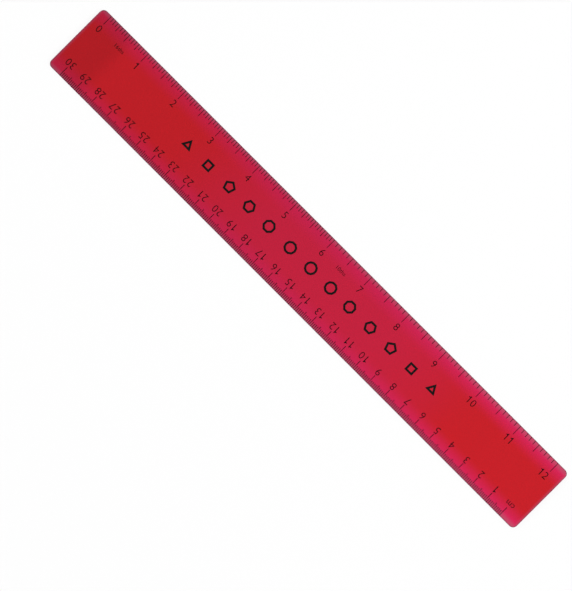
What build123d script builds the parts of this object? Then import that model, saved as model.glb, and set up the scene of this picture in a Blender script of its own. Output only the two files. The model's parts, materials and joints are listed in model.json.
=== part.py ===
from build123d import *
from functools import cache
import math
import os

# Flexible twelve inch ruler, lying flat on its underside.
# X runs along the strip towards the twelve inch end, Y towards the inch edge, Z up.
# The origin is the middle of the underside.
# One elastic moulded strip is divided, at flex lines across its width, into rigid sections.
# Every section carries the print of its own stretch. All lengths are in millimetres.

# Strip
STRIP_WIDTH = 38.1
STRIP_THICKNESS = 1.6
EDGE_THICKNESS = 0.7
BEVEL_WIDTH = 6.0
CORNER_RADIUS = 2.5

# Flex lines
SECTION_COUNT = 23
SECTION_GAP = 0.1
BEND_LIMIT_DEGREES = 14.5
BEND_SPARE_DEGREES = 0.5

# Print, which fills shallow panels along both long edges of the underside
PRINT_THICKNESS = 0.05
PRINT_EDGE_MARGIN = 0.1
PANEL_MARGIN = 0.65
MARK_WIDTH = 0.3

# Inch scale: sixteenths over the first half, tenths over the second
INCH = 25.4
INCH_COUNT = 12
ZERO_INCH_MARGIN = 5.5
LAST_INCH_MARGIN = 7.2
INCH_MARK = 5.6
HALF_INCH_MARK = 4.7
QUARTER_INCH_MARK = 3.9
EIGHTH_INCH_MARK = 2.9
SIXTEENTH_INCH_MARK = 2.5
TENTH_INCH_MARK = 2.4
INCH_NUMERAL_OFFSET = 6.8
INCH_NUMERAL_HEIGHT = 3.75
LAST_NUMERAL_SHIFT = 1.6
CAPTION_OFFSET = 7.6
CAPTION_HEIGHT = 2.0
SIXTEENTHS_CAPTION_PLACE = 13.6
TENTHS_CAPTION_PLACE = 12.5

# Centimetre scale, centred on the inch scale and read from the other end
MILLIMETRE = 1.0
CENTIMETRE_COUNT = 30
CENTIMETRE_MARK = 5.4
HALF_CENTIMETRE_MARK = 3.5
MILLIMETRE_MARK = 2.7
CENTIMETRE_NUMERAL_OFFSET = 5.9
CENTIMETRE_NUMERAL_HEIGHT = 3.75
UNIT_HEIGHT = 2.4

# Lettering, drawn with strokes in a box one glyph wide and one glyph high
STROKE_SHARE = 0.12
GLYPH_WIDTH_SHARE = 0.55
GLYPH_SPACING_SHARE = 0.22
SIX_SHARES = [
    [(0.9, 0.86), (0.7, 1), (0.3, 1), (0, 0.75), (0, 0.2), (0.25, 0), (0.75, 0),
     (1, 0.2), (1, 0.42), (0.75, 0.6), (0.25, 0.6), (0, 0.42)],
]
GLYPH_SHARES = {
    "0": [[(0.25, 0), (0.75, 0), (1, 0.2), (1, 0.8), (0.75, 1), (0.25, 1), (0, 0.8), (0, 0.2), (0.25, 0)]],
    "1": [[(0.15, 0.78), (0.55, 1), (0.55, 0)]],
    "2": [[(0, 0.8), (0.22, 1), (0.78, 1), (1, 0.8), (1, 0.62), (0, 0), (1, 0)]],
    "3": [[(0, 0.84), (0.22, 1), (0.78, 1), (1, 0.82), (1, 0.68), (0.75, 0.53), (0.4, 0.53)],
          [(0.75, 0.53), (1, 0.37), (1, 0.18), (0.78, 0), (0.22, 0), (0, 0.16)]],
    "4": [[(0.72, 0), (0.72, 1), (0, 0.3), (1, 0.3)]],
    "5": [[(0.92, 1), (0.14, 1), (0.04, 0.52), (0.3, 0.64), (0.72, 0.64), (1, 0.44), (1, 0.2), (0.75, 0),
           (0.22, 0), (0, 0.16)]],
    "6": SIX_SHARES,
    "7": [[(0, 1), (1, 1), (0.35, 0)]],
    "8": [[(0.25, 0.53), (0.04, 0.68), (0.04, 0.85), (0.27, 1), (0.73, 1), (0.96, 0.85), (0.96, 0.68),
           (0.75, 0.53), (0.25, 0.53), (0, 0.37), (0, 0.18), (0.25, 0), (0.75, 0), (1, 0.18), (1, 0.37),
           (0.75, 0.53)]],
    "9": [[(1 - across, 1 - up) for across, up in stroke] for stroke in SIX_SHARES],
    "c": [[(1, 0.58), (0.78, 0.72), (0.25, 0.72), (0, 0.52), (0, 0.2), (0.25, 0), (0.78, 0), (1, 0.14)]],
    "m": [[(0, 0), (0, 0.72)], [(0, 0.58), (0.2, 0.72), (0.4, 0.72), (0.6, 0.58), (0.6, 0)],
          [(0.6, 0.58), (0.8, 0.72), (1, 0.72), (1.2, 0.58), (1.2, 0)]],
    "t": [[(0.35, 1), (0.35, 0.12), (0.5, 0), (0.8, 0)], [(0, 0.72), (0.8, 0.72)]],
    "h": [[(0, 0), (0, 1)], [(0, 0.58), (0.2, 0.72), (0.75, 0.72), (0.95, 0.55), (0.95, 0)]],
    "s": [[(0.95, 0.6), (0.75, 0.72), (0.2, 0.72), (0.02, 0.6), (0.02, 0.46), (0.2, 0.38), (0.78, 0.34),
           (0.97, 0.25), (0.97, 0.12), (0.78, 0), (0.2, 0), (0, 0.12)]],
}

# Plain pattern on the top face: one outlined polygon in the middle of each printed section
PATTERN_SIDES = [3, 4, 5, 6, 8, 10, 12, 10, 8, 6, 5, 4, 3]
PATTERN_RADIUS = 3.4
PATTERN_LINE = 1.1
PATTERN_OFFSET = 1.0

# Room that cutting shapes reach past what they cut
CUT_OVERRUN = 1.0

# Places worked out from the sizes above
STRIP_LENGTH = ZERO_INCH_MARGIN + INCH_COUNT * INCH + LAST_INCH_MARGIN
HALF_LENGTH = STRIP_LENGTH / 2
HALF_WIDTH = STRIP_WIDTH / 2
INCH_PANEL_WIDTH = INCH_NUMERAL_OFFSET + INCH_NUMERAL_HEIGHT + PANEL_MARGIN
CENTIMETRE_PANEL_WIDTH = CENTIMETRE_NUMERAL_OFFSET + CENTIMETRE_NUMERAL_HEIGHT + PANEL_MARGIN
HINGE_HEIGHT = STRIP_THICKNESS / 2
END_SLOPE = math.tan(math.radians((BEND_LIMIT_DEGREES + BEND_SPARE_DEGREES) / 2))
RIDGE_DEPTH = SECTION_GAP / 2 + HINGE_HEIGHT * END_SLOPE
ZERO_INCH = ZERO_INCH_MARGIN - HALF_LENGTH
CENTIMETRE = 10 * MILLIMETRE
ZERO_CENTIMETRE = ZERO_INCH + (INCH_COUNT * INCH + CENTIMETRE_COUNT * CENTIMETRE) / 2


def inch_marks():
    """Place and length of every mark of the inch scale."""
    marks = []
    sixteenth_lengths = {0: INCH_MARK, 8: HALF_INCH_MARK, 4: QUARTER_INCH_MARK, 12: QUARTER_INCH_MARK}
    for inch in range(INCH_COUNT):
        if inch < INCH_COUNT // 2:
            for step in range(16):
                small = SIXTEENTH_INCH_MARK if step % 2 else EIGHTH_INCH_MARK
                marks.append((ZERO_INCH + (inch + step / 16) * INCH, sixteenth_lengths.get(step, small)))
        else:
            for step in range(10):
                length = {0: INCH_MARK, 5: HALF_INCH_MARK}.get(step, TENTH_INCH_MARK)
                marks.append((ZERO_INCH + (inch + step / 10) * INCH, length))
    marks.append((ZERO_INCH + INCH_COUNT * INCH, INCH_MARK))
    return marks


def centimetre_marks():
    """Place and length of every mark of the centimetre scale."""
    marks = []
    for step in range(CENTIMETRE_COUNT * 10 + 1):
        length = MILLIMETRE_MARK
        if step % 10 == 0:
            length = CENTIMETRE_MARK
        elif step % 5 == 0:
            length = HALF_CENTIMETRE_MARK
        marks.append((ZERO_CENTIMETRE - step * MILLIMETRE, length))
    return marks


def flex_lines():
    """Places of the flex lines: near an even pitch, midway between millimetre marks, clear of inch marks."""
    pitch = STRIP_LENGTH / SECTION_COUNT
    inch_places = [place for place, length in inch_marks()]
    room_needed = MARK_WIDTH / 2 + PRINT_EDGE_MARGIN + RIDGE_DEPTH
    lines = []
    for index in range(1, SECTION_COUNT):
        even = index * pitch - HALF_LENGTH
        middle = math.floor((ZERO_CENTIMETRE - even) / MILLIMETRE) + 1 / 2
        choices = [ZERO_CENTIMETRE - (middle + step) * MILLIMETRE for step in (-1, 0, 1)]
        choices.sort(key=lambda line: abs(line - even))
        rooms = [min(abs(line - place) for place in inch_places) for line in choices]
        clear = [line for line, room in zip(choices, rooms) if room >= room_needed]
        lines.append(clear[0] if clear else choices[rooms.index(max(rooms))])
    return lines


FLEX_LINES = flex_lines()
SECTION_ENDS = [-HALF_LENGTH] + FLEX_LINES + [HALF_LENGTH]


def face_of(points, plane):
    """A flat face with straight sides through the points, on a plane."""
    return plane * make_face(Polyline(*points, close=True))


def whole_strip():
    """The moulded strip in one piece: bevelled long edges, rounded corners, two print panels below."""
    profile = face_of(
        [
            (HALF_WIDTH, PRINT_THICKNESS),
            (HALF_WIDTH, EDGE_THICKNESS),
            (HALF_WIDTH - BEVEL_WIDTH, STRIP_THICKNESS),
            (BEVEL_WIDTH - HALF_WIDTH, STRIP_THICKNESS),
            (-HALF_WIDTH, EDGE_THICKNESS),
            (-HALF_WIDTH, PRINT_THICKNESS),
            (CENTIMETRE_PANEL_WIDTH - HALF_WIDTH, PRINT_THICKNESS),
            (CENTIMETRE_PANEL_WIDTH - HALF_WIDTH, 0),
            (HALF_WIDTH - INCH_PANEL_WIDTH, 0),
            (HALF_WIDTH - INCH_PANEL_WIDTH, PRINT_THICKNESS),
        ],
        Plane.YZ,
    )
    bar = extrude(profile, amount=HALF_LENGTH, both=True)
    plan = extrude(RectangleRounded(STRIP_LENGTH, STRIP_WIDTH, CORNER_RADIUS), amount=STRIP_THICKNESS)
    return bar & plan


def flexing_end(line, side):
    """Outline of a section's end at a flex line: a low ridge at hinge height, seen from the side."""
    ridge = line + side * SECTION_GAP / 2
    lowest = -CUT_OVERRUN
    highest = STRIP_THICKNESS + CUT_OVERRUN
    return [
        (ridge + side * (HINGE_HEIGHT - lowest) * END_SLOPE, lowest),
        (ridge, HINGE_HEIGHT),
        (ridge + side * (highest - HINGE_HEIGHT) * END_SLOPE, highest),
    ]


def free_end(place, side):
    """Outline of an end past the strip's own end, where nothing is cut."""
    past = place - side * CUT_OVERRUN
    return [(past, -CUT_OVERRUN), (past, STRIP_THICKNESS + CUT_OVERRUN)]


def strip_section(strip, index):
    """One rigid section of the strip, between two flex lines or a flex line and the strip's end."""
    start = SECTION_ENDS[index]
    end = SECTION_ENDS[index + 1]
    left = free_end(start, 1) if index == 0 else flexing_end(start, 1)
    right = free_end(end, -1) if index == SECTION_COUNT - 1 else flexing_end(end, -1)
    cutter = extrude(face_of(left + right[::-1], Plane.XZ), amount=STRIP_WIDTH, both=True)
    return strip & cutter


def print_limits(index):
    """Lowest and highest X that the print of a section may reach."""
    return SECTION_ENDS[index] + RIDGE_DEPTH, SECTION_ENDS[index + 1] - RIDGE_DEPTH


def stroke_bar(start, end, width):
    """One straight pen stroke, with square ends that reach half its width past its points."""
    middle = (start + end) / 2
    along = end - start
    turn = math.degrees(math.atan2(along.Y, along.X))
    return Pos(middle.X, middle.Y) * Rot(0, 0, turn) * Rectangle(along.length + width, width)


@cache
def glyph(letter, height):
    """One numeral or letter, its lower left corner at the origin."""
    width = height * GLYPH_WIDTH_SHARE
    bars = []
    for stroke in GLYPH_SHARES[letter]:
        points = [Vector(across * width, up * height) for across, up in stroke]
        bars += [stroke_bar(a, b, height * STROKE_SHARE) for a, b in zip(points, points[1:])]
    return bars[0].fuse(*bars[1:]) if len(bars) > 1 else bars[0]


def lettering(text, height, x, y, turn=0):
    """A word or number centred on x, its base at y, turned about that point."""
    advance = height * (GLYPH_WIDTH_SHARE + GLYPH_SPACING_SHARE)
    half_run = (advance * len(text) - height * GLYPH_SPACING_SHARE) / 2
    place = Pos(x, y) * Rot(0, 0, turn)
    glyphs = []
    for order, letter in enumerate(text):
        glyphs.append(place * Pos(order * advance - half_run, 0) * glyph(letter, height))
    return glyphs


def scale_marks():
    """Flat faces of all marks of both scales."""
    outer_end = HALF_WIDTH - PRINT_EDGE_MARGIN
    faces = []
    for place, length in inch_marks():
        faces.append(Pos(place, outer_end - length / 2) * Rectangle(MARK_WIDTH, length))
    for place, length in centimetre_marks():
        faces.append(Pos(place, length / 2 - outer_end) * Rectangle(MARK_WIDTH, length))
    return faces


def scale_lettering():
    """Flat faces of all numerals, the unit and the two captions, as read from above."""
    faces = []
    inch_base = HALF_WIDTH - INCH_NUMERAL_OFFSET - INCH_NUMERAL_HEIGHT
    for inch in range(INCH_COUNT + 1):
        shift = LAST_NUMERAL_SHIFT if inch == INCH_COUNT else 0
        faces += lettering(str(inch), INCH_NUMERAL_HEIGHT, ZERO_INCH + inch * INCH - shift, inch_base)
    caption_base = HALF_WIDTH - CAPTION_OFFSET - CAPTION_HEIGHT
    faces += lettering("16ths", CAPTION_HEIGHT, ZERO_INCH + SIXTEENTHS_CAPTION_PLACE, caption_base)
    middle_inch = ZERO_INCH + INCH_COUNT // 2 * INCH
    faces += lettering("10ths", CAPTION_HEIGHT, middle_inch + TENTHS_CAPTION_PLACE, caption_base)
    centimetre_base = CENTIMETRE_NUMERAL_OFFSET + CENTIMETRE_NUMERAL_HEIGHT - HALF_WIDTH
    for count in range(1, CENTIMETRE_COUNT + 1):
        place = ZERO_CENTIMETRE - count * CENTIMETRE
        faces += lettering(str(count), CENTIMETRE_NUMERAL_HEIGHT, place, centimetre_base, 180)
    unit_base = CENTIMETRE_NUMERAL_OFFSET + UNIT_HEIGHT - HALF_WIDTH
    faces += lettering("cm", UNIT_HEIGHT, ZERO_CENTIMETRE, unit_base, 180)
    return faces


def scale_print(index, faces):
    """The print below one section: what lies on it of both scales, cut at its flex lines."""
    low, high = print_limits(index)
    window = Pos((low + high) / 2, 0) * Rectangle(high - low, STRIP_WIDTH)
    solids = []
    for face in faces:
        box = face.bounding_box()
        if box.max.X <= low or box.min.X >= high:
            continue
        inside = low <= box.min.X and box.max.X <= high
        kept = face if inside else face & window
        for piece in kept.faces():
            if piece.area > MARK_WIDTH**2:
                solids.append(extrude(piece, amount=PRINT_THICKNESS, dir=(0, 0, 1)))
    return solids


def top_print(index, sides):
    """An outlined polygon on the top face, in the middle of one section."""
    middle = (SECTION_ENDS[index] + SECTION_ENDS[index + 1]) / 2
    inner_radius = PATTERN_RADIUS - PATTERN_LINE / math.cos(math.pi / sides)
    turn = 90 if sides % 2 else 90 - 180 / sides
    outer = RegularPolygon(PATTERN_RADIUS, sides, rotation=turn)
    inner = RegularPolygon(inner_radius, sides, rotation=turn)
    place = Pos(middle, PATTERN_OFFSET, STRIP_THICKNESS)
    return extrude(place * (outer - inner), amount=PRINT_THICKNESS)


def save(name, solids):
    """Writes one node with its separate solids."""
    export_step(Compound(label=name, children=solids), f"parts/{name}.step")


def main():
    os.makedirs("parts", exist_ok=True)
    strip = whole_strip()
    faces = scale_marks() + scale_lettering()
    for index in range(SECTION_COUNT):
        save(f"strip_section_{index + 1:02d}", strip_section(strip, index).solids())
        printed = [solid for item in scale_print(index, faces) for solid in item.solids()]
        save(f"scale_print_{index + 1:02d}", printed)
    first_printed = (SECTION_COUNT - len(PATTERN_SIDES)) // 2
    for order, sides in enumerate(PATTERN_SIDES):
        index = first_printed + order
        save(f"top_print_{index + 1:02d}", top_print(index, sides).solids())


main()
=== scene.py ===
import json
import math

import bmesh
import bpy
from mathutils import Matrix, Vector

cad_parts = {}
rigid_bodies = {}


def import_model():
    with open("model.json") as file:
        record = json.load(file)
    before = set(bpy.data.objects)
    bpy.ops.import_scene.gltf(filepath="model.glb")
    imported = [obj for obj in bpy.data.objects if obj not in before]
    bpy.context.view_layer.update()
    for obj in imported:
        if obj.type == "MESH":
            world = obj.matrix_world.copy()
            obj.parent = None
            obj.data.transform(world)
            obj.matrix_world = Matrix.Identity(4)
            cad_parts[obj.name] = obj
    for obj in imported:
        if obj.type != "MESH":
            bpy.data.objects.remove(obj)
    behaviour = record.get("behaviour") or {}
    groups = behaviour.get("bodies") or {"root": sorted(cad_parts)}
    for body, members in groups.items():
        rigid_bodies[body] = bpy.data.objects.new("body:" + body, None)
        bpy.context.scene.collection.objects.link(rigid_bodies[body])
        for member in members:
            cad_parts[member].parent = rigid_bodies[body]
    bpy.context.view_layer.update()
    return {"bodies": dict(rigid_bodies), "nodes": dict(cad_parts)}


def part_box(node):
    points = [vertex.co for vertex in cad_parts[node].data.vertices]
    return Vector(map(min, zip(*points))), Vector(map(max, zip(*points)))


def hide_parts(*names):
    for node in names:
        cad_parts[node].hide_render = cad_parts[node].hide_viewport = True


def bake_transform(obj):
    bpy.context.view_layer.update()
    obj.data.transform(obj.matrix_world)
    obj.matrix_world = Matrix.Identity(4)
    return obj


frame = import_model()

bl_info = {
    "name": "Flexible Ruler",
    "version": (1, 0, 0),
    "blender": (4, 5, 0),
    "location": "View3D > Sidebar > Ruler",
    "description": "Makes a clear bendable ruler with two printed scales around its packed frame",
    "category": "Object",
}

# X runs along the ruler towards the twelve inch end, Y towards the inch edge, Z up, in metres.
BODIES = sorted(frame["bodies"])
STRIP_NODES = sorted(name for name in frame["nodes"] if name.startswith("strip_section_"))
SCALE_NODES = sorted(name for name in frame["nodes"] if name.startswith("scale_print_"))
TOP_NODES = sorted(name for name in frame["nodes"] if name.startswith("top_print_"))

STRIP_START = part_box(STRIP_NODES[0])[0].x
STRIP_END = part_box(STRIP_NODES[-1])[1].x
HALF_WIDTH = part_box(STRIP_NODES[0])[1].y
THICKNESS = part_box(STRIP_NODES[0])[1].z
PRINT_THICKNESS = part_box(SCALE_NODES[0])[1].z
INCH = 0.0254
MILLIMETRE = 0.001
HALF_INCHES = 6  # sixteenths fill this many inches, and tenths as many again
CENTIMETRES = 30

REST_PLACE = "rest_place"
SMALLEST_FEATURE = 0.00001
WHITE = (1.0, 1.0, 1.0, 1.0)

# One length of ruler lies around each flex line.
FLEX_LINES = range(len(BODIES) - 1)
# Share of the ink's thickness that sinks into the plastic, as wet ink does, leaving no air.
INK_SINK = 0.2


def middle_of(node):
    """Place along the ruler of the middle of a frame node."""
    low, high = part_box(node)
    return (low.x + high.x) / 2


SECTION_MIDDLES = [middle_of(node) for node in STRIP_NODES]


def length_setting(name, description, default):
    """A length that a user may change, in metres."""
    return bpy.props.FloatProperty(
        name=name, description=description, default=default, unit="LENGTH", precision=5
    )


def mark_setting(name, default):
    """The length of one kind of mark."""
    return length_setting(name, f"Length of each {name.lower()}", default)


def share_setting(name, description, default):
    """A share between nothing and all."""
    return bpy.props.FloatProperty(
        name=name, description=description, default=default, min=0, max=1, subtype="FACTOR"
    )


def colour_setting(name, description, default):
    """A colour that a user may change."""
    return bpy.props.FloatVectorProperty(
        name=name, description=description, default=default, size=3, min=0, max=1, subtype="COLOR"
    )


class RulerStripSettings(bpy.types.PropertyGroup):
    """Sizes of the moulded strip."""

    edge_thickness: length_setting("Edge thickness", "Height of the thin long edges", 0.0007)
    bevel_width: length_setting("Bevel width", "Width of the slope along each long edge", 0.006)
    corner_radius: length_setting("Corner radius", "Rounding of the four corners in plan", 0.0025)
    rim_radius: length_setting("Rim radius", "Rounding of the outer rims", 0.00015)
    ridge_softness: length_setting("Ridge softness", "Half width of the ridge over a slope", 0.0004)
    row_step: length_setting("Row step", "Distance from one row of faces to the next", 0.00028)


class RulerPlasticSettings(bpy.types.PropertyGroup):
    """Colours of the clear plastic, as white light comes back through it."""

    end_colour: colour_setting("Ends", "Tint of the strip near both ends", (0.532, 0.0108, 0.0175))
    middle_colour: colour_setting("Middle", "Tint of the strip midway", (0.54, 0.013, 0.045))
    edge_colour: colour_setting("Edge", "Tint of the thin long edges", (0.575, 0.0135, 0.092))
    # Painted shade next to the outline, along the long edges where the marks cast shadows, and
    # along the short ends.
    dull_colour: colour_setting("Edge shade", "Tint next to the outline", (0.45, 0.056, 0.112))
    rim_colour: colour_setting("Rim", "Tint of the outermost rim", (0.10, 0.012, 0.04))
    glow_width: length_setting("Glow width", "How far the edge tint reaches into the strip", 0.0105)
    # Widths of the painted shade along the long edges and along the short ends.
    dull_width: length_setting("Dull width", "How far the dull edge reaches into the strip", 0.0026)
    dull_end_width: length_setting("Dull end width", "Width of a short end's dull band", 0.0018)
    rim_width: length_setting("Rim width", "Width of the dark rim", 0.0005)
    roughness: share_setting("Roughness", "Roughness of the moulded surface", 0.05)
    haze: share_setting("Haze", "Share of light scattered where the surface is seen along it", 0.35)


class RulerScaleSettings(bpy.types.PropertyGroup):
    """Sizes of the marks, numerals and captions on the underside."""

    inch_mark_width: length_setting("Inch mark width", "Width of the inch scale's marks", 0.0003)
    centimetre_mark_width: length_setting(
        "Centimetre mark width", "Width of the centimetre scale's marks", 0.00035
    )
    edge_margin: length_setting("Edge margin", "Gap between the marks and the long edge", 0.0001)
    zero_margin: length_setting("Zero margin", "Gap from the strip's end to the zero mark", 0.0055)
    inch_mark: mark_setting("Inch mark", 0.0056)
    half_inch_mark: mark_setting("Half inch mark", 0.0047)
    quarter_inch_mark: mark_setting("Quarter inch mark", 0.0039)
    eighth_inch_mark: mark_setting("Eighth inch mark", 0.0029)
    sixteenth_inch_mark: mark_setting("Sixteenth inch mark", 0.0025)
    tenth_inch_mark: mark_setting("Tenth inch mark", 0.0024)
    inch_numeral_offset: length_setting("Inch numeral offset", "Gap from edge to numerals", 0.0068)
    last_numeral_shift: length_setting("Last numeral shift", "Shift of the last numeral", 0.0016)
    numeral_height: length_setting("Numeral height", "Height of all numerals", 0.00375)
    caption_offset: length_setting("Caption offset", "Gap from the edge to the captions", 0.0076)
    caption_height: length_setting("Caption height", "Height of the captions", 0.002)
    sixteenths_place: length_setting("Sixteenths place", "Caption, past the zero mark", 0.0136)
    tenths_place: length_setting("Tenths place", "Caption, past the six inch mark", 0.0125)
    centimetre_mark: mark_setting("Centimetre mark", 0.0054)
    half_centimetre_mark: mark_setting("Half centimetre mark", 0.0035)
    millimetre_mark: mark_setting("Millimetre mark", 0.0027)
    centimetre_numeral_offset: length_setting(
        "Centimetre numeral offset", "Gap from edge to numerals", 0.0059
    )
    unit_height: length_setting("Unit height", "Capital height of the unit mark's type", 0.0029)


class RulerPatternSettings(bpy.types.PropertyGroup):
    """Sizes of the plain pattern on the top face."""

    sides: bpy.props.IntVectorProperty(
        name="Sides",
        description="Number of sides of each outlined polygon, from the zero end",
        default=(3, 4, 5, 6, 8, 10, 12, 10, 8, 6, 5, 4, 3),
        size=13,
        min=3,
    )
    radius: length_setting("Radius", "Corner radius of the polygons", 0.0034)
    line_width: length_setting("Line width", "Width of the printed outline", 0.0011)
    offset: length_setting("Offset", "Shift of the pattern towards the inch edge", 0.001)


class RulerInkSettings(bpy.types.PropertyGroup):
    """Finish of the printed ink."""

    ink_colour: colour_setting("Ink", "Colour of the ink", (0.0035, 0.0025, 0.003))
    ink_roughness: share_setting("Ink roughness", "Roughness of the dried ink", 0.28)
    cut_step: length_setting("Cut step", "Distance between cuts across the print", 0.001)


class RulerStageSettings(bpy.types.PropertyGroup):
    """Floor, light and camera around the ruler."""

    floor_drop: length_setting("Floor drop", "Depth of the floor below the ruler", 0.0002)
    floor_reach: length_setting("Floor reach", "Half the side of the floor", 4.0)
    floor_colour: colour_setting("Floor", "Colour of the floor", (0.94, 0.94, 0.94))
    even_white: share_setting("Even white", "How evenly white plastic shows the ground", 0.95)
    open_ground: share_setting("Open ground", "How much the camera sees through the ground", 0.88)
    softbox_side: length_setting("Softbox side", "Side of the square softboxes", 1.2)
    key_power: bpy.props.FloatProperty(
        name="Key power", description="Power of the main softbox in watts", default=15, min=0
    )
    fill_power: bpy.props.FloatProperty(
        name="Fill power", description="Power of the second softbox in watts", default=9, min=0
    )
    zenith_light: share_setting("Zenith light", "Light of the dome straight above", 0.12)
    horizon_light: share_setting("Horizon light", "Light of the dome near the floor", 0.8)
    lens: bpy.props.FloatProperty(
        name="Lens", description="Focal length of the camera in millimetres", default=300, min=50
    )
    view_height: length_setting("View height", "Height of the frame at the ruler", 0.2851)
    turn: bpy.props.FloatProperty(
        name="Turn",
        description="Turn of the camera about the vertical",
        default=math.radians(45.035),
        subtype="ANGLE",
    )
    shift_right: length_setting("Shift right", "Ruler's middle right of the frame's middle", 0.0108)
    shift_up: length_setting("Shift up", "Ruler's middle above the frame's middle", 0.0129)


class Value:
    """One output of a node, used in arithmetic as a number would be."""

    def __init__(self, graph, output):
        self.graph = graph
        self.output = output

    def math(self, operation, first, second=None):
        inputs = {0: first} if second is None else {0: first, 1: second}
        return self.graph.add("ShaderNodeMath", {"operation": operation}, inputs)

    def __add__(self, other):
        return self.math("ADD", self, other)

    def __radd__(self, other):
        return self.math("ADD", other, self)

    def __sub__(self, other):
        return self.math("SUBTRACT", self, other)

    def __rsub__(self, other):
        return self.math("SUBTRACT", other, self)

    def __mul__(self, other):
        return self.math("MULTIPLY", self, other)

    def __rmul__(self, other):
        return self.math("MULTIPLY", other, self)

    def __truediv__(self, other):
        return self.math("DIVIDE", self, other)

    def __mod__(self, other):
        return self.math("MODULO", self, other)

    def __lt__(self, other):
        return self.math("LESS_THAN", self, other)

    def __gt__(self, other):
        return self.math("GREATER_THAN", self, other)

    def __abs__(self):
        return self.math("ABSOLUTE", self)

    def at_least(self, other):
        return self.math("MAXIMUM", self, other)

    def at_most(self, other):
        return self.math("MINIMUM", self, other)

    def limited(self):
        """The value kept between nothing and one."""
        return self.at_least(0).at_most(1)

    def root(self):
        return self.math("SQRT", self)

    def cosine(self):
        return self.math("COSINE", self)

    def power(self, other):
        return self.math("POWER", self, other)


class Graph:
    """Adds nodes to one node tree."""

    def __init__(self, tree):
        self.tree = tree

    def add(self, kind, settings=None, inputs=None, output=0):
        """One node: its settings, then the values or links of its sockets. Gives one output."""
        node = self.tree.nodes.new(kind)
        for name, value in (settings or {}).items():
            setattr(node, name, value)
        for key, value in (inputs or {}).items():
            socket = node.inputs[key]
            if isinstance(value, Value):
                self.tree.links.new(value.output, socket)
            else:
                socket.default_value = value
        return Value(self, node.outputs[output])

    def parts(self, vector):
        """The three numbers of a vector."""
        first = self.add("ShaderNodeSeparateXYZ", inputs={0: vector})
        return [Value(self, output) for output in first.output.node.outputs]

    def vector(self, x, y, z):
        return self.add("ShaderNodeCombineXYZ", inputs={0: x, 1: y, 2: z})

    def mixed(self, share, first, second):
        """Two colours mixed by a share."""
        inputs = {0: share, 6: first, 7: second}
        return self.add("ShaderNodeMix", {"data_type": "RGBA"}, inputs, output=2)

    def noise(self, place, scale, detail):
        inputs = {"Vector": place, "Scale": scale, "Detail": detail}
        return self.add("ShaderNodeTexNoise", inputs=inputs)

    def bump(self, height, strength, distance):
        inputs = {"Strength": strength, "Distance": distance, "Height": height}
        return self.add("ShaderNodeBump", inputs=inputs)

    def smooth(self, value, low, high):
        """Nothing at low, one at high, with a soft start and end."""
        settings = {"interpolation_type": "SMOOTHSTEP"}
        return self.add("ShaderNodeMapRange", settings, {0: value, 1: low, 2: high, 3: 0.0, 4: 1.0})


def opaque(colour):
    """A colour with its alpha."""
    return (*colour, 1.0)


def new_material(name):
    """A new material with a plain surface node, its graph and that node."""
    material = bpy.data.materials.new(name)
    material.use_nodes = True
    surface = next(node for node in material.node_tree.nodes if node.type == "BSDF_PRINCIPLED")
    return material, Graph(material.node_tree), surface


def link(value, socket):
    """Joins a value to a socket."""
    value.graph.tree.links.new(value.output, socket)


# Where the plastic's colour, with its painted light and shade, changes along the ruler, as shares
# of half its length.
PINK_PLACE = 0.075  # the pinkest place, past the middle
PINK_REACH, PINK_FULL = 0.68, 0.2  # from there to where the pink ends, and to where it is full
# Painted light brightens the strip from this place to the twelve inch end.
PAINTED_LIGHT_START = 0.5  # where the strip starts to turn paler, before the middle
# Painted shade darkens the strip near the zero end.
ZERO_END_SHADE_REACH, ZERO_END_SHADE_FULL = 0.16, 0.1  # from the zero end, the same for the deeper stretch
# How much it changes there.
# Painted light adds to the edge tint and to the brightness, and painted shade takes from the
# brightness.
EDGE_GLOW = 0.6  # share of the edge tint that shows where the strip isn't paler
PAINTED_LIGHT_GAIN, PAINTED_EDGE_LIGHT_GAIN, ZERO_END_SHADE_LOSS = 0.14, 0.15, 0.15  # in brightness
CLOUD_GAIN, CLOUD_SHIFT = 0.06, 0.05  # in brightness, and in metres along the ruler
# Shares of the width of the painted shade bands and of the rim within which they are full.
EDGE_SHADE_FULL, END_BAND_FULL, RIM_FULL = 0.2, 0.1, 0.3
# The painted edge shade widens with the painted light.
EDGE_SHADE_WIDENING = 0.3  # wider by this share where the strip is palest
END_BAND_STRENGTH = 0.65
RIM_FOOT, RIM_TOP = 0.68, 0.8  # the rim's dark rises between these shares of the edge's height
# Smears and flow marks are drawn out along the ruler: the less, the longer they are.
SMEAR_DRAW, FLOW_DRAW = 0.25, 0.3
SMEAR_ROUGHNESS = 0.05
PLASTIC_IOR = 1.49


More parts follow.
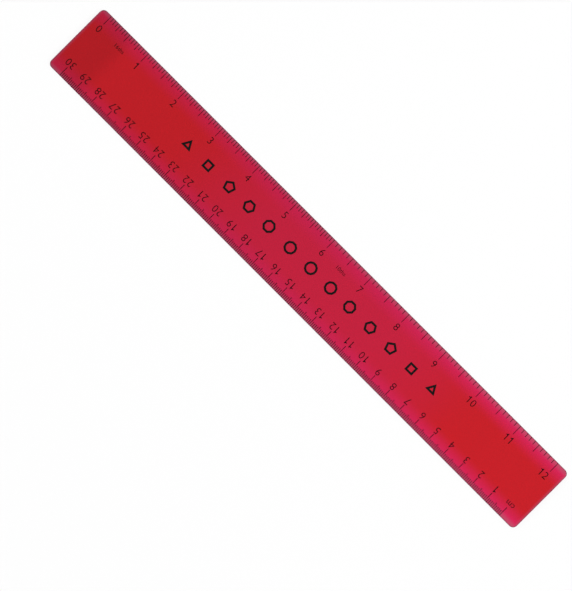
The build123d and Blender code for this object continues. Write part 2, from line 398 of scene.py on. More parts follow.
def clear_red_plastic(settings, strip):
    """Clear red moulded plastic, pinker towards its thin long edges."""
    material, graph, surface = new_material("moulded_plastic")
    place = graph.add(
        "ShaderNodeAttribute",
        {"attribute_type": "GEOMETRY", "attribute_name": REST_PLACE},
        output="Vector",
    )
    along, across, up = graph.parts(place)
    clouds = graph.noise(place, scale=14.0, detail=2.0) - 0.5

    # Deep red near the ends, pinker a little past half way along and towards the thin long edges.
    half_length = (STRIP_END - STRIP_START) / 2
    middle_place = (STRIP_END + STRIP_START) / 2
    from_pink = abs(along - (middle_place + half_length * PINK_PLACE)) + clouds * CLOUD_SHIFT
    pinkness = graph.smooth(from_pink, half_length * PINK_REACH, half_length * PINK_FULL)
    # Painted light, rising towards the twelve inch end, where the edge tint also shows more.
    painted_light = graph.smooth(along, middle_place - half_length * PAINTED_LIGHT_START, STRIP_END)
    to_edge = HALF_WIDTH - abs(across)
    glow = graph.smooth(to_edge, settings.glow_width, 0.0) * (EDGE_GLOW + (1 - EDGE_GLOW) * painted_light)
    tint = graph.mixed(pinkness, opaque(settings.end_colour), opaque(settings.middle_colour))
    tint = graph.mixed(glow, tint, opaque(settings.edge_colour))

    # Painted shade makes the last stretch to a long edge duller, for the shadows of the marks on
    # the ground below, and a narrower one to a short end.
    from_middle = abs(along - middle_place)
    to_end = half_length - from_middle
    edge_shade_reach = settings.dull_width * (1 + painted_light * EDGE_SHADE_WIDENING)
    painted_edge_shade = graph.smooth(to_edge, edge_shade_reach, settings.dull_width * EDGE_SHADE_FULL)
    end_reach = settings.dull_end_width
    painted_end_band = graph.smooth(to_end, end_reach, end_reach * END_BAND_FULL) * END_BAND_STRENGTH
    tint = graph.mixed(painted_edge_shade.at_least(painted_end_band), tint, opaque(settings.dull_colour))

    # Painted shade makes the zero end a little darker. Painted light makes the twelve inch end
    # paler, most of all at its edges. The clouds vary the tone at random.
    zero_end_shade_limit = STRIP_START + half_length * ZERO_END_SHADE_REACH
    painted_zero_end_shade = graph.smooth(along, zero_end_shade_limit, STRIP_START + half_length * ZERO_END_SHADE_FULL)
    shade = 1 + painted_light * (PAINTED_LIGHT_GAIN + glow * PAINTED_EDGE_LIGHT_GAIN) - painted_zero_end_shade * ZERO_END_SHADE_LOSS + clouds * CLOUD_GAIN
    tint = graph.add("ShaderNodeVectorMath", {"operation": "SCALE"}, {0: tint, "Scale": shade})

    # The light that runs sideways through the rim makes it dark.
    corner = strip.corner_radius
    past_x = from_middle - (half_length - corner)
    past_y = abs(across) - (HALF_WIDTH - corner)
    outside = (past_x.at_least(0).power(2) + past_y.at_least(0).power(2)).root()
    to_outline = corner - outside - past_x.at_least(past_y).at_most(0)
    upper = graph.smooth(up, strip.edge_thickness * RIM_FOOT, strip.edge_thickness * RIM_TOP)
    rim = graph.smooth(to_outline, settings.rim_width, settings.rim_width * RIM_FULL) * upper
    tint = graph.mixed(rim, tint, opaque(settings.rim_colour))
    link(tint, surface.inputs["Base Color"])

    # Faint smears and flow marks run along the ruler.
    drawn_out = graph.vector(along * SMEAR_DRAW, across, up)
    smears = graph.noise(drawn_out, scale=160.0, detail=4.0)
    roughness = settings.roughness + (smears - 0.5) * SMEAR_ROUGHNESS
    link(roughness, surface.inputs["Roughness"])
    drawn_out = graph.vector(along * FLOW_DRAW, across, up)
    flow = graph.noise(drawn_out, scale=45.0, detail=1.0)
    link(graph.bump(flow, strength=0.15, distance=0.0002), surface.inputs["Normal"])
    surface.inputs["Transmission Weight"].default_value = 1.0
    surface.inputs["IOR"].default_value = PLASTIC_IOR

    # The soft plastic scatters a little light, which shows where the surface is seen along it.
    facing = graph.add("ShaderNodeLayerWeight", inputs={"Blend": 0.5}, output="Facing")
    body = graph.add("ShaderNodeBsdfDiffuse", inputs={"Color": tint})
    clear = Value(graph, surface.outputs["BSDF"])
    finish = graph.add("ShaderNodeMixShader", inputs={0: facing * settings.haze, 1: clear, 2: body})
    exit_node = next(node for node in material.node_tree.nodes if node.type == "OUTPUT_MATERIAL")
    link(finish, exit_node.inputs["Surface"])
    return material


def hidden_seam():
    """Finish of the faces where two lengths of the strip meet: clear, as if there were none."""
    material, _, surface = new_material("hidden_seam")
    surface.inputs["Base Color"].default_value = WHITE
    surface.inputs["Alpha"].default_value = 0.0
    return material


THIN_START, THIN_FULL = 0.5, 0.8  # values of the mottle between which the ink turns thin
MOTTLE_ROUGHNESS = 0.12
INK_SPECULAR = 0.25


def dried_ink(settings):
    """Dried screen ink: nearly black, faintly mottled."""
    material, graph, surface = new_material("dried_ink")
    place = graph.add("ShaderNodeTexCoord", output="Object")
    mottle = graph.noise(place, scale=900.0, detail=3.0)
    thin = graph.smooth(mottle, THIN_START, THIN_FULL)
    paler = [channel * 2 + 0.001 for channel in settings.ink_colour]
    colour = graph.mixed(thin, opaque(settings.ink_colour), opaque(paler))
    link(colour, surface.inputs["Base Color"])
    link(settings.ink_roughness + mottle * MOTTLE_ROUGHNESS, surface.inputs["Roughness"])
    link(graph.bump(mottle, strength=0.2, distance=0.00002), surface.inputs["Normal"])
    surface.inputs["Specular IOR Level"].default_value = INK_SPECULAR
    return material


def new_tree(name, sizes, counts=()):
    """A geometry tree with named inputs. Gives the tree, its graph and its inputs by name."""
    tree = bpy.data.node_groups.new(name, "GeometryNodeTree")
    tree.interface.new_socket("Geometry", in_out="OUTPUT", socket_type="NodeSocketGeometry")
    tree.interface.new_socket("Geometry", in_out="INPUT", socket_type="NodeSocketGeometry")
    for label in sizes:
        tree.interface.new_socket(label, in_out="INPUT", socket_type="NodeSocketFloat")
    for label in counts:
        tree.interface.new_socket(label, in_out="INPUT", socket_type="NodeSocketInt")
    tree.interface.new_socket("Material", in_out="INPUT", socket_type="NodeSocketMaterial")
    graph = Graph(tree)
    entry = tree.nodes.new("NodeGroupInput")
    given = {output.name: Value(graph, output) for output in entry.outputs if output.name}
    return tree, graph, given


def close_tree(graph, geometry, material, chosen_faces=None, chosen_finish=None):
    """Ends a tree: makes instances real, sets the finishes and puts the result out."""
    real = graph.add("GeometryNodeRealizeInstances", inputs={"Geometry": geometry})
    finished = graph.add("GeometryNodeSetMaterial", inputs={"Geometry": real, "Material": material})
    if chosen_finish:
        finished = graph.add(
            "GeometryNodeSetMaterial",
            inputs={"Geometry": finished, "Selection": chosen_faces, "Material": chosen_finish},
        )
    exit_node = graph.tree.nodes.new("NodeGroupOutput")
    graph.tree.links.new(finished.output, exit_node.inputs[0])


def mesh_from_tree(tree, values, name):
    """The plain mesh that a tree gives with these inputs."""
    holder = bpy.data.objects.new(name, bpy.data.meshes.new(name))
    bpy.context.scene.collection.objects.link(holder)
    modifier = holder.modifiers.new("tree", "NODES")
    modifier.node_group = tree
    for item in tree.interface.items_tree:
        if item.in_out == "INPUT" and item.name in values:
            modifier[item.identifier] = values[item.name]
    mesh = evaluated_mesh(holder)
    bpy.data.objects.remove(holder)
    mesh.name = name
    return mesh


def evaluated_mesh(holder):
    """A plain mesh copied from an object as it stands with its modifiers."""
    bpy.context.view_layer.update()
    depsgraph = bpy.context.evaluated_depsgraph_get()
    return bpy.data.meshes.new_from_object(
        holder.evaluated_get(depsgraph), preserve_all_data_layers=True, depsgraph=depsgraph
    )


def place_piece(name, mesh):
    """A new object at the origin that shows a mesh."""
    piece = bpy.data.objects.new(name, mesh)
    bpy.context.scene.collection.objects.link(piece)
    return piece


def bend_between(piece):
    """Bakes the piece's place into its mesh.
    """
    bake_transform(piece)


def stretch_limits(index):
    """Start and end of the length of ruler around a flex line: section middles or strip ends."""
    low = STRIP_START if index == 0 else SECTION_MIDDLES[index]
    high = STRIP_END if index == FLEX_LINES[-1] else SECTION_MIDDLES[index + 1]
    return low, high


# Steps of the strip's block from its middle to a long edge, and from the underside to the top.
ACROSS_STEPS = 5
LEVELS = 3
RIM_REACH = 2.5  # distance from a long edge to where its fine faces start, in rim radii
END_LIFT = 0.3  # share of a short end's rounding that the two middle levels follow
SEAM_FACING = 0.9  # a face that looks along the ruler by more than this may be a seam
SHARP_ANGLE = 1.0  # edges that turn by more than this, in radians, aren't smoothed
STRIP_SIZES = [
    "Low",
    "High",
    "Strip Start",
    "Strip End",
    "Half Width",
    "Underside",
    "Top",
    "Edge Height",
    "Bevel Width",
    "Corner Radius",
    "Rim Radius",
    "Ridge Softness",
]


def strip_tree(seam):
    """Tree of one length of the strip: a fine block of faces, moved onto the moulded outline."""
    tree, graph, given = new_tree("strip_length", STRIP_SIZES, ["Rows"])
    half_width = given["Half Width"]
    corner = given["Corner Radius"]
    rim = given["Rim Radius"]
    block = graph.add(
        "GeometryNodeMeshCube",
        inputs={
            "Size": (1.0, 1.0, 1.0),
            "Vertices X": given["Rows"],
            "Vertices Y": 2 * ACROSS_STEPS + 1,
            "Vertices Z": LEVELS + 1,
        },
    )
    block_x, block_y, block_z = graph.parts(graph.add("GeometryNodeInputPosition"))

    # Along the strip, rows crowd together near an end so that its corners are round.
    even = given["Low"] + (block_x + 0.5) * (given["High"] - given["Low"])

    def crowding(distance):
        near = distance.at_most(corner)
        return corner * (1 - (near / corner * (math.pi / 2)).cosine()) - near

    from_start = even - given["Strip Start"]
    from_end = given["Strip End"] - even
    along = even + crowding(from_start) - crowding(from_end)
    to_end = (along - given["Strip Start"]).at_most(given["Strip End"] - along)

    def rounding(radius):
        inside = (radius - to_end).at_least(0)
        return radius - (radius * radius - inside * inside).at_least(0).root()

    # Across the strip: middle, soft ridge, bevel, rim.
    ridge = half_width - given["Bevel Width"]
    knots = [
        ridge - given["Ridge Softness"],
        ridge + given["Ridge Softness"],
        half_width - rim * RIM_REACH,
        half_width - rim,
        half_width,
    ]
    steps = abs(block_y) * (2 * ACROSS_STEPS)
    distance = knots[0] * steps.limited()
    for order in range(1, ACROSS_STEPS):
        distance = distance + (knots[order] - knots[order - 1]) * (steps - order).limited()
    rim_share = (steps - (ACROSS_STEPS - 1)).limited()
    level = (block_z + 0.5) * LEVELS
    outer_level = abs(level - LEVELS / 2) - 0.5
    soft_corner = rim * (1 - math.sqrt(0.5)) * rim_share * outer_level
    distance = distance - rounding(corner) * (steps - 2).limited() - soft_corner
    side = block_y * 2 / (abs(block_y) * 2).at_least(SMALLEST_FEATURE)
    across = distance * side

    # Up: underside, lower rim, upper rim, top with its bevels.
    slope = (given["Top"] - given["Edge Height"]) / given["Bevel Width"]
    roof = (given["Edge Height"] + (half_width - distance) * slope).at_most(given["Top"])
    end_rim = rounding(rim)
    lift = soft_corner + end_rim
    low_rim = given["Underside"] + rim + end_rim * END_LIFT
    high_rim = roof - rim - end_rim * END_LIFT
    up = (
        (given["Underside"] + lift) * (1 - level.limited())
        + low_rim * (level.limited() - (level - 1).limited())
        + high_rim * ((level - 1).limited() - (level - 2).limited())
        + (roof - lift) * (level - 2).limited()
    )
    place = graph.vector(along, across, up)
    shaped = graph.add("GeometryNodeSetPosition", inputs={"Geometry": block, "Position": place})
    shaped = graph.add(
        "GeometryNodeStoreNamedAttribute",
        {"data_type": "FLOAT_VECTOR", "domain": "POINT"},
        {"Geometry": shaped, "Name": REST_PLACE, "Value": graph.add("GeometryNodeInputPosition")},
    )
    soft_edges = graph.add("GeometryNodeInputMeshEdgeAngle") < SHARP_ANGLE
    smooth = shaped
    for domain, chosen in (("FACE", True), ("EDGE", soft_edges)):
        smooth = graph.add(
            "GeometryNodeSetShadeSmooth", {"domain": domain}, {0: smooth, "Shade Smooth": chosen}
        )

    # The seams are the faces that look along the ruler, but for the two short ends.
    facing = abs(graph.parts(graph.add("GeometryNodeInputNormal"))[0])
    centre = graph.parts(graph.add("GeometryNodeInputPosition"))[0]
    inside = (centre - given["Strip Start"]).at_most(given["Strip End"] - centre) > corner
    close_tree(graph, smooth, given["Material"], (facing > SEAM_FACING) * inside, seam)
    return tree


MARK_SIZES = [
    "First Place",
    "Pitch",
    "Outer End",
    "Side",
    "Mark Width",
    "Low",
    "High",
    "Length",
    "Length A",
    "Length B",
    "Length C",
    "Length D",
]
MARK_COUNTS = ["Marks", "Every A", "Every B", "Every C", "Every D"]


def marks_tree():
    """Tree of one run of marks: thin bars at an even pitch, longer where their order says so."""
    tree, graph, given = new_tree("scale_marks", MARK_SIZES, MARK_COUNTS)
    line = graph.add(
        "GeometryNodeMeshLine",
        {"mode": "OFFSET", "count_mode": "TOTAL"},
        {
            "Count": given["Marks"],
            "Start Location": graph.vector(given["First Place"], given["Outer End"], 0.0),
            "Offset": graph.vector(given["Pitch"], 0.0, 0.0),
        },
    )
    order = graph.add("GeometryNodeInputIndex")
    length = given["Length"]
    for rank in "ABCD":
        chosen = (order % given[f"Every {rank}"]) < 0.5
        length = length + (given[f"Length {rank}"] - length) * chosen
    height = given["High"] - given["Low"]
    shift = graph.vector(0.0, length * given["Side"] * -0.5, (given["High"] + given["Low"]) / 2)
    points = graph.add("GeometryNodeSetPosition", inputs={"Geometry": line, "Offset": shift})
    bar = graph.add(
        "GeometryNodeMeshCube",
        inputs={"Size": (1.0, 1.0, 1.0), "Vertices X": 2, "Vertices Y": 2, "Vertices Z": 2},
    )
    size = graph.vector(given["Mark Width"], length, height)
    bars = graph.add(
        "GeometryNodeInstanceOnPoints", inputs={"Points": points, "Instance": bar, "Scale": size}
    )
    close_tree(graph, bars, given["Material"])
    return tree


class RULER_OT_make_strip(bpy.types.Operator):
    """Makes the clear strip, one length around each flex line."""

    bl_idname = "ruler.make_strip"
    bl_label = "Make Strip"

    def execute(self, context):
        settings = context.scene.ruler_strip
        plastic = clear_red_plastic(context.scene.ruler_plastic, settings)
        tree = strip_tree(hidden_seam())
        for index in FLEX_LINES:
            low, high = stretch_limits(index)
            values = {
                "Low": low,
                "High": high,
                "Strip Start": STRIP_START,
                "Strip End": STRIP_END,
                "Half Width": HALF_WIDTH,
                "Underside": PRINT_THICKNESS,
                "Top": THICKNESS,
                "Edge Height": settings.edge_thickness,
                "Bevel Width": settings.bevel_width,
                "Corner Radius": settings.corner_radius,
                "Rim Radius": settings.rim_radius,
                "Ridge Softness": settings.ridge_softness,
                "Rows": round((high - low) / settings.row_step) + 1,
                "Material": plastic,
            }
            name = f"clear_strip_{index + 1:02d}"
            piece = place_piece(name, mesh_from_tree(tree, values, name))
            if len(piece.data.polygons) == 0:
                raise RuntimeError(f"{name} came out empty")
            bend_between(piece)
            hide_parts(STRIP_NODES[index])
            if index == FLEX_LINES[-1]:
                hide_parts(STRIP_NODES[index + 1])
        return {"FINISHED"}


# The numeral one, a stem with a flag, for a height of one and centred on its width.
ONE_OUTLINE = [
    (-0.02, 0.0),
    (0.1, 0.0),
    (0.1, 1.0),
    (0.005, 1.0),
    (-0.07, 0.88),
    (-0.25, 0.81),
    (-0.25, 0.72),
    (-0.02, 0.72),
]
# How much is taken off each side of a numeral's strokes, as a share of the type's size.
STROKE_TRIM = 0.0075
# Height of a numeral, as a share of the type's size.
NUMERAL_SHARE = 0.7
# Distance from one digit's middle to the next, as a share of their height.
ADVANCE_SHARE = 0.77


def type_mesh(text, height, thickness, trim=0.0):
    """Plain lettering in the built-in type, centred and standing on the X axis."""
    curve = bpy.data.curves.new("word", "FONT")
    curve.body = text
    curve.align_x = "CENTER"
    curve.size = 1
    curve.offset = -trim
    curve.resolution_u = 3
    scale = height / NUMERAL_SHARE
    curve.extrude = thickness / 2 / scale
    holder = bpy.data.objects.new("word", curve)
    bpy.context.scene.collection.objects.link(holder)
    mesh = evaluated_mesh(holder)
    bpy.data.objects.remove(holder)
    mesh.transform(Matrix.Scale(scale, 4))
    return mesh


def numeral_one(height, thickness):
    """The numeral one as a flat plate with the same thickness as the type."""
    plate = bmesh.new()
    rings = []
    for z in (-thickness / 2, thickness / 2):
        rings.append([plate.verts.new((x * height, y * height, z)) for x, y in ONE_OUTLINE])
        plate.faces.new(rings[-1])
    lower, upper = rings
    for order in range(len(ONE_OUTLINE)):
        following = (order + 1) % len(ONE_OUTLINE)
        plate.faces.new((lower[order], lower[following], upper[following], upper[order]))
    bmesh.ops.recalc_face_normals(plate, faces=plate.faces[:])
    mesh = bpy.data.meshes.new("numeral_one")
    plate.to_mesh(mesh)
    plate.free()
    return mesh


def standing_at(x, y, z, turn):
    """Where lettering goes: centred on x, standing on y, turned about that point."""
    return Matrix.Translation((x, y, z)) @ Matrix.Rotation(turn, 4, "Z")


def number_meshes(number, height, thickness, place):
    """A printed number, digit by digit."""
    text = str(number)
    meshes = []
    for order, digit in enumerate(text):
        if digit == "1":
            mesh = numeral_one(height, thickness)
        else:
            mesh = type_mesh(digit, height, thickness, STROKE_TRIM)
        step = (order - (len(text) - 1) / 2) * height * ADVANCE_SHARE
        mesh.transform(place @ Matrix.Translation((step, 0, 0)))
        meshes.append(mesh)
    return meshes


def word_mesh(text, height, thickness, place):
    """A printed caption or unit mark."""
    mesh = type_mesh(text, height, thickness)
    mesh.transform(place)
    return mesh


def joined(meshes):
    """One bmesh with all the meshes, welded."""
    whole = bmesh.new()
    for mesh in meshes:
        whole.from_mesh(mesh)
        bpy.data.meshes.remove(mesh)
    bmesh.ops.remove_doubles(whole, verts=whole.verts[:], dist=SMALLEST_FEATURE / 10)
    return whole


def cut_across(part, place, **cleared):
    """Cuts a mesh by a plane across the ruler."""
    everything = part.verts[:] + part.edges[:] + part.faces[:]
    return bmesh.ops.bisect_plane(
        part, geom=everything, plane_co=(place, 0, 0), plane_no=(1, 0, 0), **cleared
    )


def cut_out(whole, low, high, step, name, ink):
    """The part of the print between two places, cut across at even steps so that it can bend."""
    part = whole.copy()
    for place, keep_above in ((low, True), (high, False)):
        cut = cut_across(part, place, clear_inner=keep_above, clear_outer=not keep_above)
        open_edges = [item for item in cut["geom_cut"] if isinstance(item, bmesh.types.BMEdge)]
        bmesh.ops.holes_fill(part, edges=[edge for edge in open_edges if edge.is_boundary], sides=0)
    count = math.ceil((high - low) / step)
    for order in range(1, count):
        cut_across(part, low + (high - low) * order / count)
    bmesh.ops.recalc_face_normals(part, faces=part.faces[:])
    if not part.faces:
        part.free()
        return None
    mesh = bpy.data.meshes.new(name)
    part.to_mesh(mesh)
    part.free()
    mesh.materials.clear()
    mesh.materials.append(ink)
    return mesh


def place_print(whole, ink, step, stem, nodes_by_index):
    """Cuts a print at the section middles and places each length as a piece of its own."""
    for index in FLEX_LINES:
        low, high = stretch_limits(index)
        name = f"{stem}_{index + 1:02d}"
        mesh = cut_out(whole, low, high, step, name, ink)
        if mesh is None:
            continue
        piece = place_piece(name, mesh)
        bend_between(piece)
        for node in nodes_by_index.get(index, []):
            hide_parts(node)
    whole.free()


def shared_ink(context):
    """The ink of every print, made once."""
    return bpy.data.materials.get("dried_ink") or dried_ink(context.scene.ruler_ink)


def run_of_marks(outer_end, width, first_place, pitch, marks, plain, ranks):
    """Inputs of one run of marks.

    Ranks are pairs, from the shortest: every how many marks, and how long those are.
    """
    values = {
        "First Place": first_place,
        "Pitch": pitch,
        "Marks": marks,
        "Outer End": outer_end,
        "Side": math.copysign(1.0, outer_end),
        "Mark Width": width,
        "Length": plain,
    }
    for order, letter in enumerate("ABCD"):
        every, length = ranks[min(order, len(ranks) - 1)]
        values[f"Every {letter}"] = every
        values[f"Length {letter}"] = length
    return values


def scale_marks(settings, zero_inch, middle_inch, zero_centimetre):
    """Inputs of the three runs: sixteenths, then tenths of an inch, and millimetres."""
    outer_end = HALF_WIDTH - settings.edge_margin
    width = settings.inch_mark_width
    sixteenth = settings.sixteenth_inch_mark
    halvings = [
        (2, settings.eighth_inch_mark),
        (4, settings.quarter_inch_mark),
        (8, settings.half_inch_mark),
        (16, settings.inch_mark),
    ]
    tenth = settings.tenth_inch_mark
    fives = [(5, settings.half_inch_mark), (10, settings.inch_mark)]
    return [
        run_of_marks(outer_end, width, zero_inch, INCH / 16, HALF_INCHES * 16, sixteenth, halvings),
        run_of_marks(outer_end, width, middle_inch, INCH / 10, HALF_INCHES * 10 + 1, tenth, fives),
        run_of_marks(
            -outer_end,
            settings.centimetre_mark_width,
            zero_centimetre,
            -MILLIMETRE,
            CENTIMETRES * 10 + 1,
            settings.millimetre_mark,
            [(5, settings.half_centimetre_mark), (10, settings.centimetre_mark)],
        ),
    ]


def scale_lettering(settings, zero_inch, middle_inch, zero_centimetre, middle, thickness):
    """Numerals, captions and unit mark, all centred on one height."""
    meshes = []
    numeral = settings.numeral_height
    base = HALF_WIDTH - settings.inch_numeral_offset - numeral
    last = 2 * HALF_INCHES
    for inch in range(last + 1):
        x = zero_inch + inch * INCH - (settings.last_numeral_shift if inch == last else 0)
        meshes += number_meshes(inch, numeral, thickness, standing_at(x, base, middle, 0))
    base = HALF_WIDTH - settings.caption_offset - settings.caption_height
    captions = [
        ("16ths", zero_inch + settings.sixteenths_place),
        ("10ths", middle_inch + settings.tenths_place),
    ]
    for text, x in captions:
        place = standing_at(x, base, middle, 0)
        meshes.append(word_mesh(text, settings.caption_height, thickness, place))
    base = settings.centimetre_numeral_offset + numeral - HALF_WIDTH
    for count in range(1, CENTIMETRES + 1):
        x = zero_centimetre - count * 10 * MILLIMETRE
        meshes += number_meshes(count, numeral, thickness, standing_at(x, base, middle, math.pi))
    base = settings.centimetre_numeral_offset + settings.unit_height - HALF_WIDTH
    place = standing_at(zero_centimetre, base, middle, math.pi)
    meshes.append(word_mesh("cm", settings.unit_height, thickness, place))
    return meshes


class RULER_OT_make_scales(bpy.types.Operator):
    """Makes the inch and centimetre scales on the underside."""

    bl_idname = "ruler.make_scales"
    bl_label = "Make Scales"

    def execute(self, context):
        settings = context.scene.ruler_scales
        ink = shared_ink(context)
        low = PRINT_THICKNESS * INK_SINK
        high = PRINT_THICKNESS * (1 + INK_SINK)
        zero_inch = STRIP_START + settings.zero_margin
        middle_inch = zero_inch + HALF_INCHES * INCH
        zero_centimetre = middle_inch + CENTIMETRES * 5 * MILLIMETRE
        places = (zero_inch, middle_inch, zero_centimetre)
        tree = marks_tree()
        common = {"Low": low, "High": high, "Material": ink}
        runs = scale_marks(settings, *places)
        meshes = [mesh_from_tree(tree, {**common, **run}, "marks") for run in runs]
        meshes += scale_lettering(settings, *places, (low + high) / 2, high - low)

        nodes = {index: [SCALE_NODES[index]] for index in FLEX_LINES}
        nodes[FLEX_LINES[-1]].append(SCALE_NODES[-1])
        step = context.scene.ruler_ink.cut_step
        place_print(joined(meshes), ink, step, "underside_print", nodes)
        return {"FINISHED"}


def outlined_polygon(settings, sides, x, low, high):
    """A flat ring with straight sides, its top side or corner towards the inch edge."""
    turn = math.pi / 2 if sides % 2 else math.pi / 2 - math.pi / sides
    radius = settings.radius
    inner_radius = radius - settings.line_width / math.cos(math.pi / sides)
    profile = [(radius, low), (radius, high), (inner_radius, high), (inner_radius, low)]
    ring = bmesh.new()
    corners = []
    for order in range(sides):
        angle = turn + order * math.tau / sides
        outward = Vector((math.cos(angle), math.sin(angle), 0))
        column = []
        for reach, height in profile:
            column.append(ring.verts.new(outward * reach + Vector((x, settings.offset, height))))
        corners.append(column)
    for order in range(sides):
        here = corners[order]
        there = corners[(order + 1) % sides]
        for side in range(len(profile)):
            following = (side + 1) % len(profile)
            ring.faces.new((here[side], there[side], there[following], here[following]))
    bmesh.ops.recalc_face_normals(ring, faces=ring.faces[:])
    mesh = bpy.data.meshes.new("polygon")
    ring.to_mesh(mesh)
    ring.free()
    return mesh


class RULER_OT_make_pattern(bpy.types.Operator):
    """Makes the plain printed pattern on the top face."""

    bl_idname = "ruler.make_pattern"
    bl_label = "Make Pattern"

    def execute(self, context):
        settings = context.scene.ruler_pattern
        low = THICKNESS - PRINT_THICKNESS * INK_SINK
        high = THICKNESS + PRINT_THICKNESS * (1 - INK_SINK)
        meshes = [
            outlined_polygon(settings, sides, middle_of(node), low, high)
            for sides, node in zip(settings.sides, TOP_NODES)
        ]
        first = STRIP_NODES.index(TOP_NODES[0].replace("top_print", "strip_section"))
        nodes = {first + order: [node] for order, node in enumerate(TOP_NODES)}
        step = context.scene.ruler_ink.cut_step
        place_print(joined(meshes), shared_ink(context), step, "top_pattern", nodes)
        return {"FINISHED"}


# A direction whose upward part is over the first has the zenith's light, under the second the
# horizon's.
ZENITH_UP = 0.97
HORIZON_UP = 0.6
KEY_PLACE = Vector((1.1, 0.5, 1.3))
FILL_PLACE = Vector((-1.2, 0.3, 1.2))
SENSOR_WIDTH = 36  # in millimetres, as the lens
CLIP_FACTOR = 50  # from the camera's distance to each of its clipping planes


def empty_graph(owner):
    """The graph of a material or world, with no nodes in it yet."""
    owner.use_nodes = True
    owner.node_tree.nodes.clear()
    return Graph(owner.node_tree)


def stage_material(settings):
    """White ground that bounces light and takes shadows.

    The plastic shows it mostly as an even white. The camera looks mostly through it, to the
    white dome behind, so that a ruler bent below the ground still shows.
    """
    material = bpy.data.materials.new("white_ground")
    graph = empty_graph(material)
    ground = graph.add("ShaderNodeBsdfDiffuse", inputs={"Color": opaque(settings.floor_colour)})
    glow = graph.add("ShaderNodeEmission", inputs={"Color": WHITE, "Strength": 1.0})
    clear = graph.add("ShaderNodeBsdfTransparent")
    camera = graph.add("ShaderNodeLightPath", output="Is Camera Ray")
    glossy = graph.add("ShaderNodeLightPath", output="Is Glossy Ray")
    through = graph.add("ShaderNodeLightPath", output="Is Transmission Ray")
    passed_on = glossy.at_least(through) * settings.even_white
    finish = graph.add("ShaderNodeMixShader", inputs={0: passed_on, 1: ground, 2: glow})
    see_through = camera * settings.open_ground
    finish = graph.add("ShaderNodeMixShader", inputs={0: see_through, 1: finish, 2: clear})
    link(finish, graph.tree.nodes.new("ShaderNodeOutputMaterial").inputs["Surface"])
    return material


def make_world(settings):
    """Studio dome: dim above, brighter to the sides, white to the camera and through plastic."""
    world = bpy.data.worlds.new("studio_dome")
    graph = empty_graph(world)
    direction = graph.add("ShaderNodeTexCoord", output="Generated")
    upward = graph.parts(direction)[2]
    side = graph.smooth(upward, ZENITH_UP, HORIZON_UP)
    grey = settings.zenith_light + side * (settings.horizon_light - settings.zenith_light)
    camera = graph.add("ShaderNodeLightPath", output="Is Camera Ray")
    through = graph.add("ShaderNodeLightPath", output="Is Transmission Ray")
    white = camera.at_least(through)
    light = grey + (1 - grey) * white
    sky = graph.add("ShaderNodeBackground", inputs={"Color": WHITE, "Strength": light})
    link(sky, graph.tree.nodes.new("ShaderNodeOutputWorld").inputs["Surface"])
    return world


def add_softbox(name, place, side, power):
    """A square lamp that looks at the ruler."""
    lamp = bpy.data.lights.new(name, "AREA")
    lamp.shape = "SQUARE"
    lamp.size = side
    lamp.energy = power
    holder = bpy.data.objects.new(name, lamp)
    bpy.context.scene.collection.objects.link(holder)
    holder.location = place
    holder.rotation_euler = (-place).to_track_quat("-Z", "Y").to_euler()
    holder.visible_camera = False


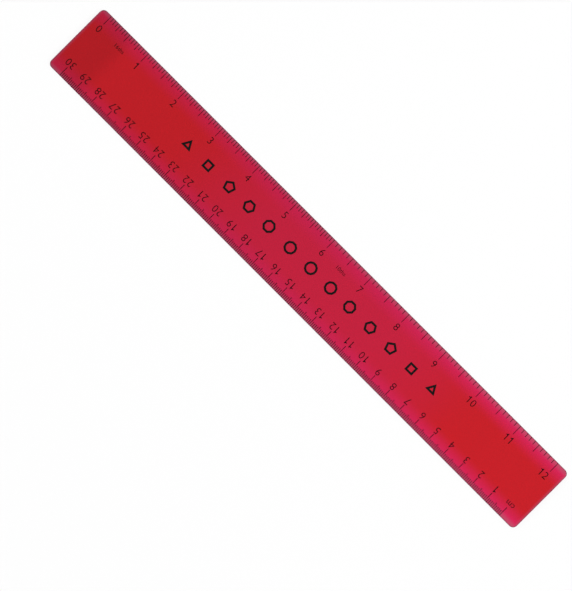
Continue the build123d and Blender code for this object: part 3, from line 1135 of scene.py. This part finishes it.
class RULER_OT_make_stage(bpy.types.Operator):
    """Makes the floor, the light and the camera."""

    bl_idname = "ruler.make_stage"
    bl_label = "Make Stage"

    def execute(self, context):
        settings = context.scene.ruler_stage
        reach = settings.floor_reach
        mesh = bpy.data.meshes.new("floor")
        corners = [(-reach, -reach), (reach, -reach), (reach, reach), (-reach, reach)]
        mesh.from_pydata([(x, y, -settings.floor_drop) for x, y in corners], [], [(0, 1, 2, 3)])
        mesh.materials.append(stage_material(settings))
        place_piece("floor", mesh)

        context.scene.world = make_world(settings)
        add_softbox("key_softbox", KEY_PLACE, settings.softbox_side, settings.key_power)
        add_softbox("fill_softbox", FILL_PLACE, settings.softbox_side, settings.fill_power)

        data = bpy.data.cameras.new("camera")
        data.lens = settings.lens
        data.sensor_width = SENSOR_WIDTH
        height = settings.view_height * settings.lens / SENSOR_WIDTH
        data.clip_start = height / CLIP_FACTOR
        data.clip_end = height * CLIP_FACTOR
        camera = bpy.data.objects.new("camera", data)
        context.scene.collection.objects.link(camera)
        turn = Matrix.Rotation(settings.turn, 4, "Z")
        offset = turn @ Vector((-settings.shift_right, -settings.shift_up, height))
        camera.matrix_world = Matrix.Translation(offset) @ turn
        context.scene.camera = camera

        context.scene.view_settings.view_transform = "Standard"
        return {"FINISHED"}


class RULER_PT_parts(bpy.types.Panel):
    """Lists the ruler's operators and sizes."""

    bl_label = "Flexible Ruler"
    bl_idname = "RULER_PT_parts"
    bl_space_type = "VIEW_3D"
    bl_region_type = "UI"
    bl_category = "Ruler"

    def draw(self, context):
        layout = self.layout
        for operator in OPERATORS:
            layout.operator(operator.bl_idname)
        for name in SETTINGS:
            group = getattr(context.scene, name)
            box = layout.box()
            for setting in group.bl_rna.properties:
                if setting.identifier not in ("rna_type", "name"):
                    box.prop(group, setting.identifier)


OPERATORS = [RULER_OT_make_stage, RULER_OT_make_strip, RULER_OT_make_scales, RULER_OT_make_pattern]
SETTINGS = {
    "ruler_strip": RulerStripSettings,
    "ruler_plastic": RulerPlasticSettings,
    "ruler_scales": RulerScaleSettings,
    "ruler_pattern": RulerPatternSettings,
    "ruler_ink": RulerInkSettings,
    "ruler_stage": RulerStageSettings,
}


def register():
    """Registers the settings, the operators and the panel."""
    for name, group in SETTINGS.items():
        bpy.utils.register_class(group)
        setattr(bpy.types.Scene, name, bpy.props.PointerProperty(type=group))
    for operator in OPERATORS:
        bpy.utils.register_class(operator)
    bpy.utils.register_class(RULER_PT_parts)


def unregister():
    """Takes the panel, the operators and the settings away again."""
    bpy.utils.unregister_class(RULER_PT_parts)
    for operator in reversed(OPERATORS):
        bpy.utils.unregister_class(operator)
    for name, group in reversed(SETTINGS.items()):
        delattr(bpy.types.Scene, name)
        bpy.utils.unregister_class(group)


def main():
    """Makes the whole ruler and its stage."""
    register()
    bpy.ops.ruler.make_stage()
    bpy.ops.ruler.make_strip()
    bpy.ops.ruler.make_scales()
    bpy.ops.ruler.make_pattern()


if __name__ == "__main__":
    main()
